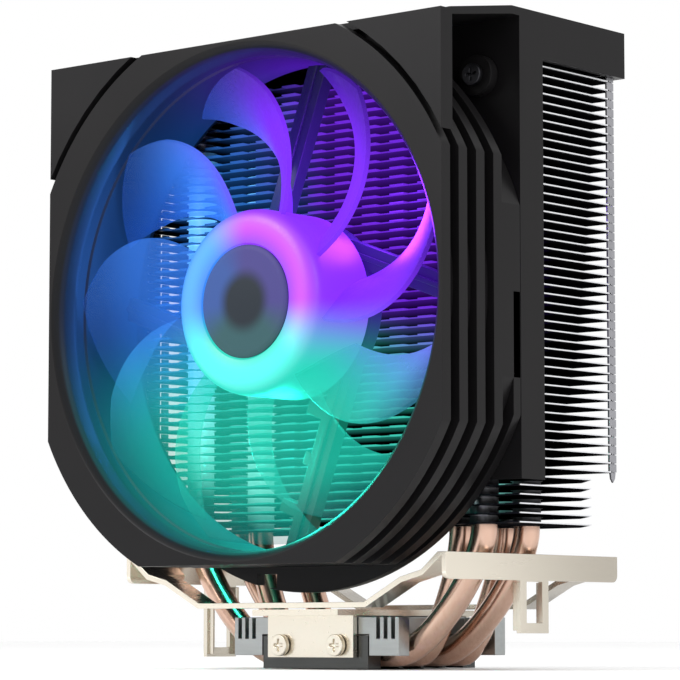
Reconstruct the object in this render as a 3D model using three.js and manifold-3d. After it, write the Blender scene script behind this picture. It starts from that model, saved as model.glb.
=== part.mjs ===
// A tower cooler for a desktop processor: four copper heat pipes rise from a small base through a stack
// of aluminium fins, and a 120 mm fan is screwed to a black shroud that straddles the stack.
// Millimetres, +Z up. The origin is the middle of the face that rests on the processor, the fan looks
// towards -Y, and X runs across the fins.
import * as THREE from "three";
import { mergeVertices } from "three/addons/utils/BufferGeometryUtils.js";
import Module from "manifold-3d";

const wasm = await Module();
wasm.setup();

// ---- driving dimensions -------------------------------------------------------------------------
const GAP = 0.3; // between pieces that touch
const TUCK = 1; // how far a cutting tool runs past what it cuts
const DUCT_SIDES = 40; // flats round the duct

const fan = {
  half: 60, // half of the fan's width
  cornerRadius: 67, // the round that takes off the square's corners
  depth: 28,
  centreZ: 83.5,
  lowTop: 58.4, // the top of the inner flanges, below the shroud's roof
  flangeStarts: [0, 6, 12.2, 18.4],
  flangeThickness: 3,
  tubeOuter: 58.3,
  tubeInner: 56.8,
  mouthRadius: 59.3,
  tailRadius: 63,
  tailStart: 21.4,
  skirtRadius: 66,
  skirtThickness: 2.6,
};
const slot = { x: -12.5, fromCentre: 63.2, width: 6, height: 3.2 };
const motor = {
  baseRadius: 20.5,
  baseThickness: 3.6,
  strutWidth: 5.5,
  strutCount: 4,
  strutRoot: [14, -9],
  strutLean: 4,
};
const lug = { radius: 4.6, screwRadius: 70, thickness: 2.6 };
const hub = { radius: 21.5, wall: 1.6, frontStart: 3, backEnd: 22, discRadius: 13, discThickness: 0.9 };
const blade = {
  count: 9,
  tipRadius: 55.2,
  thickness: 1.3,
  rootPitch: 0.95,
  tipPitch: 0.5,
  chord: 21,
  sweep: 0.5,
};
const bearing = { shaftRadius: 1.5, runningGap: 0.1, tubeRadius: 4.2 };
const stator = {
  airGap: 1.2,
  coreRadius: 6.2,
  start: 9.6,
  end: 16.4,
  poleWidth: 4,
  shoeWidth: 14,
  shoeThickness: 1.6,
  coilClear: 1, // from the coils to the shoes
  coilBuild: 1.1,
};
const magnet = { thickness: 2 };
const yokeWall = 0.9;
const board = { start: 18.6, thickness: 1, magnetClear: 1.4 };

const stack = {
  finCount: 18,
  frontY: -17.8,
  firstZ: 32.5,
  pitch: 6.2,
  finThickness: 0.5,
  halfWidth: 58,
  depth: 37,
  lowFins: 2, // the fins below the shroud, with cut rear corners
  cutCorner: 10,
  smallCorner: 1.5,
};
const pipe = {
  radius: 3,
  underGap: 0.5, // from the contact face up to the pipes
  spacing: 8,
  outerX: 43.5,
  innerX: 31,
  tipAboveFins: 5.5,
  bendStart: 18.5,
  straightBelowFins: 0.5, // upright from this far under the lowest fin
  bendEase: 0.34,
  sides: 8,
  steps: 34,
};
const base = { halfWidth: 16, halfDepth: 20, web: 1.1, capHeight: 4 }; // web: plate left over the pipes
const ear = { reach: 25, depth: 4, bottomZ: 3, slotCount: 3, slotPitch: 2.2, slotWidth: 1.1, slotDepth: 5 };
const shroud = {
  wall: 1.6,
  plate: 1.6,
  columnDepth: 8.7,
  columnBottom: 42.1,
  bandHeight: 10.7,
  roofZ: 147.6,
  roofThickness: 1.9,
  roofStart: 3.2,
  slopeEnd: 25.5,
  lip: 0.4,
  cornerDepth: 4,
  cornerGap: 1.6,
  holeRadius: 58.6,
};
const saddle = { halfWidth: 13, wall: 1.4, ledge: 5.5, bottomZ: 2.6, screwX: 8.5, screwZ: 5.4 };
const clip = {
  thickness: 1.2,
  plateX: 47.4,
  halfLength: 32.5,
  stripWidth: 6.5,
  shoulderWidth: 13,
  flatX: 25.5,
  kinkX: 36,
  shoulderX: 42,
  kinkRise: 5.5,
  shoulderRise: 7,
  topRise: 11.5,
  plateHeight: 5.4,
  hookWidth: 10.6,
  hookWindow: 6,
  hookRim: 2.3,
  leftHookEnd: 2.5,
  rightHookEnd: 8.1,
};
const screw = { shankRadius: 1.2, headRadius: 2.5, headHeight: 1.3, length: 3.6 };

// ---- places that follow from them ----------------------------------------------------------------
const finBack = stack.frontY + stack.depth;
const plateFront = stack.frontY - GAP - shroud.plate;
const fanBack = plateFront - GAP;
const fanFront = fanBack - fan.depth;
const shroudBack = finBack + GAP + shroud.wall;
const topFinZ = stack.firstZ + (stack.finCount - 1) * stack.pitch;
const pipeBaseZ = pipe.underGap + pipe.radius;
const plateTop = pipeBaseZ + pipe.radius + base.web;
const capTop = plateTop + GAP + base.capHeight;
const saddleTop = capTop + GAP + saddle.wall;
const clipZ = saddleTop + GAP;
const shroudHalf = stack.halfWidth + GAP + shroud.wall;

const finish = (color, roughness, metalness) =>
  new THREE.MeshStandardMaterial({ color, roughness, metalness });
const looks = {
  blackPlastic: finish("#1a1a1c", 0.42, 0),
  clearPlastic: finish("#5a4cf0", 0.3, 0),
  darkDisc: finish("#3b4350", 0.45, 0),
  steel: finish("#d9d6cc", 0.3, 1),
  darkSteel: finish("#6a6a6e", 0.45, 1),
  ferrite: finish("#2b2b2d", 0.7, 0),
  copper: finish("#c78468", 0.28, 1),
  winding: finish("#b5622f", 0.4, 1),
  aluminium: finish("#c9cbcd", 0.35, 1),
  brass: finish("#b79a55", 0.35, 1),
  boardGreen: finish("#1f5a38", 0.6, 0),
};

// ---- solids ----------------------------------------------------------------------------------------
function solid(geometry) {
  const bare = new THREE.BufferGeometry();
  const loose = geometry.index ? geometry.toNonIndexed() : geometry;
  bare.setAttribute("position", loose.getAttribute("position"));
  const merged = mergeVertices(bare, 1e-4);
  return new wasm.Manifold(
    new wasm.Mesh({
      numProp: 3,
      vertProperties: new Float32Array(merged.attributes.position.array),
      triVerts: new Uint32Array(merged.index.array),
    }),
  );
}

const joined = (parts) => parts.reduce((whole, next) => whole.add(next));
const cut = (body, tools) => tools.reduce((left, tool) => left.subtract(tool), body);

function meshOf(name, body, material) {
  const { vertProperties, triVerts } = body.getMesh();
  const geometry = new THREE.BufferGeometry();
  geometry.setAttribute("position", new THREE.BufferAttribute(vertProperties, 3));
  geometry.setIndex(new THREE.BufferAttribute(triVerts, 1));
  geometry.computeVertexNormals();
  const made = new THREE.Mesh(geometry, material);
  made.name = name;
  return made;
}

// A box from its low and high corners.
function block(low, high) {
  const size = high.map((value, i) => value - low[i]);
  const box = new THREE.BoxGeometry(...size);
  box.translate(...low.map((value, i) => value + size[i] / 2));
  return solid(box);
}

// A shape drawn in X and Z, run along Y.
function alongY(shape, front, back, curveSegments = 6) {
  const settings = { depth: back - front, bevelEnabled: false, curveSegments };
  const geometry = new THREE.ExtrudeGeometry(shape, settings);
  geometry.rotateX(Math.PI / 2);
  geometry.translate(0, back, 0);
  return solid(geometry);
}

// A shape drawn in Y and Z, run along X.
function alongX(shape, low, high) {
  const geometry = new THREE.ExtrudeGeometry(shape, { depth: high - low, bevelEnabled: false });
  const turn = new THREE.Matrix4().makeBasis(
    new THREE.Vector3(0, 1, 0),
    new THREE.Vector3(0, 0, 1),
    new THREE.Vector3(1, 0, 0),
  );
  geometry.applyMatrix4(turn);
  geometry.translate(low, 0, 0);
  return solid(geometry);
}

const polygon = (points) => new THREE.Shape(points.map(([x, y]) => new THREE.Vector2(x, y)));

// A turned body about the fan's axis. Its profile is radius and distance behind the fan's front.
function turned(profile, segments = 28) {
  const points = profile.map(([radius, behind]) => new THREE.Vector2(radius, behind));
  const geometry = new THREE.LatheGeometry([...points, points[0].clone()], segments);
  geometry.translate(0, fanFront, fan.centreZ);
  return solid(geometry);
}

// A ring or, with no inner radius, a disc about the fan's axis.
function ring(outer, inner, start, end, segments) {
  return turned([[inner, start], [outer, start], [outer, end], [inner, end]], segments);
}

// A rod between two depths.
function rodY(radius, x, z, front, back, sides = 12) {
  const rod = new THREE.CylinderGeometry(radius, radius, back - front, sides);
  rod.translate(x, (front + back) / 2, z);
  return solid(rod);
}

// ---- the fan -----------------------------------------------------------------------------------------
// A square flange, less high than wide, with its corners taken off by a circle about the fan's axis.
function flangeShape(top) {
  const { half, cornerRadius, centreZ } = fan;
  const side = Math.acos(half / cornerRadius);
  const rise = Math.asin(top / cornerRadius);
  const fall = Math.asin(half / cornerRadius);
  const shape = new THREE.Shape();
  shape.absarc(0, centreZ, cornerRadius, side, rise, false);
  shape.absarc(0, centreZ, cornerRadius, Math.PI - rise, Math.PI - side, false);
  shape.absarc(0, centreZ, cornerRadius, Math.PI + side, Math.PI + fall, false);
  shape.absarc(0, centreZ, cornerRadius, Math.PI * 2 - fall, Math.PI * 2 - side, false);
  return shape;
}

// One of the swept arms that carry the motor, from its base out to the tube.
function motorStrut(index) {
  const reach = fan.tubeInner + 1.2;
  const inner = new THREE.Vector2(...motor.strutRoot);
  const outer = new THREE.Vector2(-motor.strutLean, -Math.sqrt(reach ** 2 - motor.strutLean ** 2));
  const along = outer.clone().sub(inner).normalize();
  const across = new THREE.Vector2(-along.y, along.x).multiplyScalar(motor.strutWidth / 2);
  const corners = [
    inner.clone().add(across),
    outer.clone().add(across),
    outer.clone().sub(across),
    inner.clone().sub(across),
  ];
  const turn = (index * Math.PI * 2) / motor.strutCount;
  const placed = corners.map((corner) => corner.rotateAround(new THREE.Vector2(), turn));
  const outline = polygon(placed.map(({ x, y }) => [x, y + fan.centreZ]));
  return alongY(outline, fanBack - motor.baseThickness, fanBack);
}

// The two screws that hold the fan to the shroud, in lugs on the upper diagonals.
const lugOut = lug.screwRadius / Math.SQRT2;
const lugPlaces = [
  [-lugOut, fan.centreZ + lugOut],
  [lugOut, fan.centreZ + lugOut],
];

function fanFrame() {
  const { depth, centreZ, half, tubeInner, mouthRadius } = fan;
  const flanges = fan.flangeStarts.map((start, i) => {
    const front = fanFront + start;
    return alongY(flangeShape(i === 0 ? half : fan.lowTop), front, front + fan.flangeThickness);
  });
  const room = block([-half, fanFront - TUCK, 0], [half, fanBack + TUCK, centreZ + fan.lowTop]);
  const lowerHalf = block([-half, fanFront - TUCK, 0], [half, fanBack + TUCK, centreZ]);
  const collar = (outer, start) => ring(outer, tubeInner - TUCK, start, depth, DUCT_SIDES);
  const tube = collar(fan.tubeOuter, fan.flangeThickness / 2);
  const tail = collar(fan.tailRadius, fan.tailStart).intersect(room);
  const skirt = collar(fan.skirtRadius, depth - fan.skirtThickness).intersect(lowerHalf);
  const lugs = lugPlaces.map(([x, z]) => joined([
    rodY(lug.radius, x, z, fanBack - lug.thickness, fanBack, 20),
    rodY(lug.radius, x * 0.9, centreZ + (z - centreZ) * 0.9, fanBack - lug.thickness, fanBack, 20),
  ]));
  const shell = joined([...flanges, tube, tail, skirt, ...lugs]);
  const duct = turned([
    [0, -TUCK],
    [mouthRadius, -TUCK],
    [mouthRadius, 0],
    [mouthRadius - 1.2, 1],
    [tubeInner + 0.5, 2.6],
    [tubeInner, 5],
    [tubeInner, depth - 6],
    [tubeInner + 0.9, depth],
    [tubeInner + 0.9, depth + TUCK],
    [0, depth + TUCK],
  ], DUCT_SIDES);
  const slotZ = centreZ - slot.fromCentre;
  const slotTool = block(
    [slot.x - slot.width / 2, fanBack - fan.skirtThickness - TUCK, slotZ - slot.height / 2],
    [slot.x + slot.width / 2, fanBack + TUCK, slotZ + slot.height / 2],
  );
  const screwHoles = lugPlaces.map(([x, z]) =>
    rodY(screw.shankRadius + GAP, x, z, fanBack - lug.thickness - TUCK, fanBack + TUCK),
  );
  const motorBase = ring(motor.baseRadius, 0, depth - motor.baseThickness, depth);
  const struts = Array.from({ length: motor.strutCount }, (_, i) => motorStrut(i));
  const tubeHole = rodY(bearing.tubeRadius + GAP, 0, centreZ, fanFront, fanBack + TUCK, 20);
  const carried = joined([motorBase, ...struts]).subtract(tubeHole);
  return cut(cut(shell, [duct, slotTool]).add(carried), screwHoles);
}

// A blade is a flat sheet that is pitched, bowed and wrapped round the hub.
function bladeSolid(index) {
  const root = hub.radius - hub.wall / 2;
  const length = blade.tipRadius - root;
  const sheet = new THREE.BoxGeometry(length, blade.chord, blade.thickness, 4, 2, 1);
  const place = sheet.getAttribute("position");
  for (let i = 0; i < place.count; i++) {
    const share = place.getX(i) / length + 0.5;
    const along = place.getY(i) / blade.chord;
    const pitch = THREE.MathUtils.lerp(blade.rootPitch, blade.tipPitch, share);
    const chord = blade.chord * (0.8 + 0.7 * share);
    const lift = place.getZ(i) + blade.thickness * (1 - 4 * along * along);
    const across = along * chord * Math.cos(pitch) + lift * Math.sin(pitch);
    const behind = along * chord * Math.sin(pitch) - lift * Math.cos(pitch);
    const radius = root + share * length;
    const angle = across / radius + blade.sweep * share * share + (index * Math.PI * 2) / blade.count;
    place.setXYZ(i, radius * Math.cos(angle), behind, radius * Math.sin(angle));
  }
  sheet.translate(0, fanFront + (hub.frontStart + hub.backEnd) / 2 + 0.6, fan.centreZ);
  return solid(sheet);
}

const hubCapEnd = hub.frontStart + 2.8;
const yokeOuter = hub.radius - hub.wall - GAP;
const yokeStart = hubCapEnd + GAP;
const magnetOuter = yokeOuter - yokeWall - GAP;
const magnetInner = magnetOuter - magnet.thickness;
const statorRadius = magnetInner - stator.airGap;
const boardRadius = magnetInner - board.magnetClear;
const shaftHole = bearing.shaftRadius + GAP;

function impeller() {
  const { radius, wall, frontStart, backEnd, discRadius, discThickness } = hub;
  const recess = frontStart + discThickness + GAP;
  const cup = turned([
    [shaftHole, hubCapEnd],
    [shaftHole, recess],
    [discRadius + GAP, recess],
    [discRadius + GAP, frontStart],
    [radius - 3.4, frontStart],
    [radius - 1.4, frontStart + 0.7],
    [radius - 0.3, frontStart + 2],
    [radius, frontStart + 4],
    [radius, backEnd],
    [radius - wall, backEnd],
    [radius - wall, hubCapEnd],
  ]);
  const blades = Array.from({ length: blade.count }, (_, i) => bladeSolid(i));
  const inside = ring(radius - wall, 0, hubCapEnd, backEnd + TUCK * 4);
  return cup.add(joined(blades).subtract(inside));
}

function motorYoke() {
  return turned([
    [shaftHole, yokeStart + yokeWall],
    [shaftHole, yokeStart],
    [yokeOuter, yokeStart],
    [yokeOuter, hub.backEnd - 1],
    [yokeOuter - yokeWall, hub.backEnd - 1],
    [yokeOuter - yokeWall, yokeStart + yokeWall],
  ]);
}

// The stator's four poles lie on the fan's X and Z.
const poleTurns = [0, 90, 180, 270];
const turnedAboutAxis = (body, angle) =>
  body.translate([0, 0, -fan.centreZ]).rotate([0, angle, 0]).translate([0, 0, fan.centreZ]);

function statorCore() {
  const { start, end, poleWidth, shoeWidth } = stator;
  const radius = statorRadius;
  const [front, back] = [fanFront + start, fanFront + end];
  const middle = ring(stator.coreRadius, bearing.tubeRadius + GAP, start, end, 20);
  const arms = poleTurns.map((angle) => turnedAboutAxis(block(
    [-poleWidth / 2, front, fan.centreZ + stator.coreRadius - TUCK],
    [poleWidth / 2, back, fan.centreZ + radius - TUCK],
  ), angle));
  const shoeRoom = poleTurns.map((angle) => turnedAboutAxis(block(
    [-shoeWidth / 2, front - TUCK, fan.centreZ],
    [shoeWidth / 2, back + TUCK, fan.centreZ + radius + TUCK],
  ), angle));
  const shoes = ring(radius, radius - stator.shoeThickness, start, end, 32).intersect(joined(shoeRoom));
  return joined([middle, ...arms, shoes]);
}

// A winding round one pole, with its own gap to the core and the shoe.
function coil(angle) {
  const { start, end, poleWidth } = stator;
  const inner = stator.coreRadius + GAP * 2;
  const outer = statorRadius - stator.shoeThickness - stator.coilClear;
  const hole = poleWidth / 2 + GAP;
  const body = block(
    [-hole - stator.coilBuild, fanFront + start - stator.coilBuild, fan.centreZ + inner],
    [hole + stator.coilBuild, fanFront + end + stator.coilBuild, fan.centreZ + outer],
  );
  const opening = block(
    [-hole, fanFront + start - GAP, fan.centreZ],
    [hole, fanFront + end + GAP, fan.centreZ + outer + TUCK],
  );
  return turnedAboutAxis(body.subtract(opening), angle);
}

// A cross-head screw along Y. Its head is on the side of the sign.
function screwAlongY(x, z, seat, side, length) {
  const head = side < 0 ? [seat - screw.headHeight, seat] : [seat, seat + screw.headHeight];
  const shank = side < 0 ? [seat - TUCK / 2, seat + length] : [seat - length, seat + TUCK / 2];
  return rodY(screw.headRadius, x, z, ...head, 16).add(rodY(screw.shankRadius, x, z, ...shank));
}

// ---- the shroud ----------------------------------------------------------------------------------
// A plate with the duct's hole, two side columns, a band along the top, a roof that slopes down over the
// fan, and two corner guards that fill the square out in front.
function shroudBody() {
  const { wall, plate, columnDepth, columnBottom, roofZ, roofThickness, lip } = shroud;
  const { centreZ } = fan;
  const bandBottom = roofZ - shroud.bandHeight;
  const roofUnder = roofZ - roofThickness;
  const wallTop = roofZ - roofThickness / 2;
  const frontTop = centreZ + fan.half;
  const middle = block([-shroudHalf, plateFront, columnBottom], [shroudHalf, plateFront + plate, wallTop]);
  const air = rodY(shroud.holeRadius, 0, centreZ, fanFront, finBack, DUCT_SIDES);
  const sides = [-1, 1].flatMap((side) => {
    const [low, high] = [side * (shroudHalf - wall), side * shroudHalf].sort((a, b) => a - b);
    return [
      block([low, plateFront, columnBottom], [high, plateFront + columnDepth, wallTop]),
      block([low, plateFront, bandBottom], [high, shroudBack, wallTop]),
    ];
  });
  const back = block([-shroudHalf, shroudBack - wall, bandBottom], [shroudHalf, shroudBack, wallTop]);
  const roof = alongX(polygon([
    [fanFront + shroud.roofStart, centreZ + fan.lowTop + GAP],
    [fanFront + shroud.slopeEnd, roofUnder],
    [shroudBack, roofUnder],
    [shroudBack, roofZ],
    [fanFront + shroud.slopeEnd, roofZ],
    [fanFront + shroud.roofStart, frontTop + lip],
  ]), -shroudHalf, shroudHalf);
  const guardBack = fanFront + shroud.cornerDepth;
  const round = rodY(fan.cornerRadius + shroud.cornerGap, 0, centreZ, fanFront - TUCK, guardBack + TUCK, 64);
  const guards = block([-shroudHalf, fanFront, centreZ], [shroudHalf, guardBack, frontTop]);
  const holes = lugPlaces.map(([x, z]) =>
    rodY(screw.shankRadius + GAP, x, z, plateFront - TUCK, plateFront + plate + TUCK),
  );
  return cut(joined([middle.subtract(air), ...sides, back, roof, guards.subtract(round)]), holes);
}

// ---- fins and heat pipes -------------------------------------------------------------------------
const pipeRows = [0, 1, 2, 3].map((i) => ({
  y: (i - 1.5) * pipe.spacing,
  x: i % 2 === 0 ? pipe.outerX : pipe.innerX,
}));
const holeSides = 6;
const finHoleRadius = (pipe.radius + GAP) / Math.cos(Math.PI / holeSides);
const pipeTop = topFinZ + pipe.tipAboveFins;

function fin(index) {
  const { halfWidth, finThickness } = stack;
  const corner = index < stack.lowFins ? stack.cutCorner : stack.smallCorner;
  const outline = polygon([
    [-halfWidth, stack.frontY],
    [halfWidth, stack.frontY],
    [halfWidth, finBack - corner],
    [halfWidth - corner, finBack],
    [corner - halfWidth, finBack],
    [-halfWidth, finBack - corner],
  ]);
  for (const { x, y } of pipeRows) {
    for (const side of [-1, 1]) {
      const corners = Array.from({ length: holeSides }, (_, i) => {
        const angle = (-i * Math.PI * 2) / holeSides;
        const [along, back] = [Math.cos(angle), Math.sin(angle)].map((share) => share * finHoleRadius);
        return new THREE.Vector2(side * x + along, y + back);
      });
      outline.holes.push(new THREE.Path(corners));
    }
  }
  const geometry = new THREE.ExtrudeGeometry(outline, { depth: finThickness, bevelEnabled: false });
  geometry.translate(0, 0, stack.firstZ + index * stack.pitch);
  return solid(geometry);
}

// One U-shaped pipe: flat through the base, with a slanting leg on each side that turns upright.
function heatPipe({ x, y }) {
  const { bendStart, bendEase } = pipe;
  const bendTop = stack.firstZ - pipe.straightBelowFins;
  const at = (px, pz) => new THREE.Vector3(px, y, pz);
  const outEase = bendStart + (x - bendStart) * bendEase;
  const upEase = bendTop - (bendTop - pipeBaseZ) * bendEase;
  const path = new THREE.CurvePath();
  const leg = (hand) => [
    at(hand * bendStart, pipeBaseZ),
    at(hand * outEase, pipeBaseZ),
    at(hand * x, upEase),
    at(hand * x, bendTop),
  ];
  path.add(new THREE.LineCurve3(at(-x, pipeTop), at(-x, bendTop)));
  path.add(new THREE.CubicBezierCurve3(...leg(-1).reverse()));
  path.add(new THREE.LineCurve3(at(-bendStart, pipeBaseZ), at(bendStart, pipeBaseZ)));
  path.add(new THREE.CubicBezierCurve3(...leg(1)));
  path.add(new THREE.LineCurve3(at(x, bendTop), at(x, pipeTop)));
  const section = new THREE.Shape(Array.from({ length: pipe.sides }, (_, i) => {
    const angle = ((i + 0.5) * Math.PI * 2) / pipe.sides;
    return new THREE.Vector2(pipe.radius * Math.cos(angle), pipe.radius * Math.sin(angle));
  }));
  return solid(new THREE.ExtrudeGeometry(section, { steps: pipe.steps, extrudePath: path }));
}

// ---- the base --------------------------------------------------------------------------------------
const screwSeat = base.halfDepth + GAP + saddle.wall;
const saddlePlaces = [-1, 1].flatMap((side) => [-1, 1].map((hand) => [hand * saddle.screwX, side]));

function basePlate() {
  const { halfWidth, halfDepth } = base;
  const body = block([-halfWidth, -halfDepth, 0], [halfWidth, halfDepth, plateTop]);
  const room = pipe.radius + GAP;
  const grooves = pipeRows.map(({ y }) => {
    const roof = new THREE.CylinderGeometry(room, room, halfWidth * 2 + TUCK * 2, 24);
    roof.rotateZ(Math.PI / 2);
    roof.translate(0, y, pipeBaseZ);
    const below = block([-halfWidth - TUCK, y - room, -TUCK], [halfWidth + TUCK, y + room, pipeBaseZ]);
    return solid(roof).add(below);
  });
  const holes = saddlePlaces.map(([x, side]) => {
    const ends = [side * (halfDepth - screw.length), side * (halfDepth + TUCK)];
    const [front, back] = ends.sort((a, b) => a - b);
    return rodY(screw.shankRadius + GAP, x, saddle.screwZ, front, back);
  });
  return cut(body, [...grooves, ...holes]);
}

// The cap closes the grooves from above. Its slotted ears reach past the plate in front and behind.
function baseCap() {
  const { halfWidth, halfDepth } = base;
  const body = block([-halfWidth, -halfDepth, plateTop + GAP], [halfWidth, halfDepth, capTop]);
  const ears = [];
  const slots = [];
  for (const side of [-1, 1]) {
    for (const hand of [-1, 1]) {
      const [front, back] = [side * halfDepth, side * (halfDepth - ear.depth)].sort((a, b) => a - b);
      const [left, right] = [hand * (halfWidth + GAP), hand * ear.reach].sort((a, b) => a - b);
      ears.push(block([left, front, ear.bottomZ], [right, back, capTop]));
      const [bridgeLeft, bridgeRight] = [hand * (halfWidth - TUCK), hand * ear.reach].sort((a, b) => a - b);
      ears.push(block([bridgeLeft, front, plateTop + GAP], [bridgeRight, back, capTop]));
      for (let i = 0; i < ear.slotCount; i++) {
        const x = hand * (ear.reach - ear.slotPitch * (i + 0.75));
        slots.push(block(
          [x - ear.slotWidth / 2, front - TUCK, capTop - ear.slotDepth],
          [x + ear.slotWidth / 2, back + TUCK, capTop + TUCK],
        ));
      }
    }
  }
  return cut(joined([body, ...ears]), slots);
}

// The saddle is a strap over the cap, screwed to the plate in front and behind, with a ledge for the clip.
function clipSaddle() {
  const { halfWidth, wall, ledge, bottomZ } = saddle;
  const inner = base.halfDepth + GAP;
  const outer = inner + wall;
  const strap = alongX(polygon([
    [-outer, bottomZ],
    [-inner, bottomZ],
    [-inner, capTop + GAP],
    [inner, capTop + GAP],
    [inner, bottomZ],
    [outer, bottomZ],
    [outer, capTop + GAP],
    [outer + ledge, capTop + GAP],
    [outer + ledge, saddleTop],
    [-outer - ledge, saddleTop],
    [-outer - ledge, capTop + GAP],
    [-outer, capTop + GAP],
  ]), -halfWidth, halfWidth);
  const holes = saddlePlaces.map(([x, side]) => {
    const [front, back] = [side * (inner - TUCK), side * (outer + TUCK)].sort((a, b) => a - b);
    return rodY(screw.shankRadius + GAP, x, saddle.screwZ, front, back);
  });
  return cut(strap, holes);
}

// ---- the spring clip -------------------------------------------------------------------------------
// Two sprung strips, in front of and behind the pipes, rise to an upright plate on each side, and a hook
// with a window hangs from the middle of each plate.
function springClip() {
  const { thickness, plateX, halfLength, stripWidth, shoulderWidth } = clip;
  const kinkZ = clipZ + clip.kinkRise;
  const shoulderZ = clipZ + clip.shoulderRise;
  const topZ = clipZ + clip.topRise;
  const side = [
    [clip.flatX, clipZ],
    [clip.kinkX, kinkZ],
    [clip.shoulderX, shoulderZ],
    [plateX, topZ],
  ];
  const strip = polygon([
    ...side.map(([x, z]) => [-x, z]).reverse(),
    ...side,
    [plateX + thickness, topZ],
    ...side.map(([x, z]) => [x - thickness / 3, z + thickness]).reverse(),
    ...side.map(([x, z]) => [thickness / 3 - x, z + thickness]),
    [-plateX - thickness, topZ],
  ]);
  const shoulder = (hand) => polygon([
    [hand * clip.shoulderX, shoulderZ],
    [hand * plateX, topZ],
    [hand * (plateX + thickness), topZ],
    [hand * (plateX - thickness / 3), topZ + thickness],
    [hand * (clip.shoulderX - thickness / 3), shoulderZ + thickness],
  ]);
  const parts = [];
  for (const end of [-1, 1]) {
    const [front, back] = [end * halfLength, end * (halfLength - stripWidth)].sort((a, b) => a - b);
    parts.push(alongY(strip, front, back));
    const [near, far] = [end * halfLength, end * (halfLength - shoulderWidth)].sort((a, b) => a - b);
    for (const hand of [-1, 1]) parts.push(alongY(shoulder(hand), near, far));
  }
  for (const [hand, hookEnd] of [[-1, clip.leftHookEnd], [1, clip.rightHookEnd]]) {
    const [low, high] = [hand * plateX, hand * (plateX + thickness)].sort((a, b) => a - b);
    const plateBottom = topZ - clip.plateHeight;
    parts.push(block([low, -halfLength, plateBottom], [high, halfLength, topZ + thickness / 2]));
    const hook = block([low, -clip.hookWidth / 2, hookEnd], [high, clip.hookWidth / 2, plateBottom + TUCK]);
    const window = block(
      [low - TUCK, -clip.hookWindow / 2, hookEnd + clip.hookRim],
      [high + TUCK, clip.hookWindow / 2, plateBottom - TUCK / 4],
    );
    parts.push(hook.subtract(window));
  }
  return joined(parts);
}

// ---- the assembly ----------------------------------------------------------------------------------
const cooler = new THREE.Group();
const place = (name, body, material) => cooler.add(meshOf(name, body, material));

place("fan_frame", fanFrame(), looks.blackPlastic);
place("impeller", impeller(), looks.clearPlastic);
const discBack = hub.frontStart + hub.discThickness;
place("hub_disc", ring(hub.discRadius, 0, hub.frontStart, discBack), looks.darkDisc);
place("motor_yoke", motorYoke(), looks.darkSteel);
place(
  "magnet_ring",
  ring(magnetOuter, magnetInner, yokeStart + 3, hub.backEnd - 2),
  looks.ferrite,
);
place("fan_shaft", ring(bearing.shaftRadius, 0, hub.frontStart + 1.5, fan.depth - 1.5, 20), looks.steel);
place(
  "bearing_tube",
  ring(bearing.tubeRadius, bearing.shaftRadius + bearing.runningGap, yokeStart + 2, fan.depth, 20),
  looks.brass,
);
place("stator_core", statorCore(), looks.darkSteel);
poleTurns.forEach((angle, i) => place(`stator_coil_${i + 1}`, coil(angle), looks.winding));
place(
  "motor_board",
  ring(boardRadius, bearing.tubeRadius + GAP, board.start, board.start + board.thickness, 32),
  looks.boardGreen,
);
place("shroud", shroudBody(), looks.blackPlastic);
lugPlaces.forEach(([x, z], i) => {
  const seat = fanBack - lug.thickness - GAP;
  const body = screwAlongY(x, z, seat, -1, lug.thickness + GAP * 2 + shroud.plate);
  place(`fan_screw_${i + 1}`, body, looks.darkSteel);
});
for (let i = 0; i < stack.finCount; i++) {
  place(`fin_${String(i + 1).padStart(2, "0")}`, fin(i), looks.aluminium);
}
pipeRows.forEach((row, i) => place(`heat_pipe_${i + 1}`, heatPipe(row), looks.copper));
place("base_plate", basePlate(), looks.aluminium);
place("base_cap", baseCap(), looks.aluminium);
place("clip_saddle", clipSaddle(), looks.steel);
saddlePlaces.forEach(([x, side], i) => {
  const body = screwAlongY(x, saddle.screwZ, side * (screwSeat + GAP), side, screw.length);
  place(`saddle_screw_${i + 1}`, body, looks.steel);
});
place("spring_clip", springClip(), looks.steel);

export default cooler;
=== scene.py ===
"""A tower cooler for a desktop processor: the looks of its fan, fins, pipes, base and spring clip.

Shapes are drawn in millimetres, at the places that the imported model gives, and made metres at the end.
X runs across the fins, the fan looks towards -Y, and Z is up from the face that meets the processor.
"""

import math

import bmesh
import bpy
from mathutils import Matrix, Vector


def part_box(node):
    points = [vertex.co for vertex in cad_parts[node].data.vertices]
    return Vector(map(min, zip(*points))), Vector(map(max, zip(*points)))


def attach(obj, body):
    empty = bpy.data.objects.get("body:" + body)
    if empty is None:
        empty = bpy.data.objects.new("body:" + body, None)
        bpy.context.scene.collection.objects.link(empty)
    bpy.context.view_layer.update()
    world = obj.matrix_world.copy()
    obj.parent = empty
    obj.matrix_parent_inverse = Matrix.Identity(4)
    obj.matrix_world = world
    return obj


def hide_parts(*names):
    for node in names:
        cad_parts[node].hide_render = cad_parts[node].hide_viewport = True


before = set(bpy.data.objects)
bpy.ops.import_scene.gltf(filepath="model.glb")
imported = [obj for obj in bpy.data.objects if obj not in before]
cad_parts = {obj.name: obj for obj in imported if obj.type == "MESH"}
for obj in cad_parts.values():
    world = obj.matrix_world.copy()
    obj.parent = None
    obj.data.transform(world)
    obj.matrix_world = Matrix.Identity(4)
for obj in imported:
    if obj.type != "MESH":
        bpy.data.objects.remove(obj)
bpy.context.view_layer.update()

MM = 0.001
TURN = 2 * math.pi
REAL_PER_DRAWN = 3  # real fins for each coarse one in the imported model
SHARP = math.radians(30)  # a bevel rounds the edges that turn by more than this
CREASE = math.radians(38)  # shading breaks at the edges that turn by more than this
NEARLY_FLAT = math.radians(0.4)
UNLIT = (0, 0, 0, 1)


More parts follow.
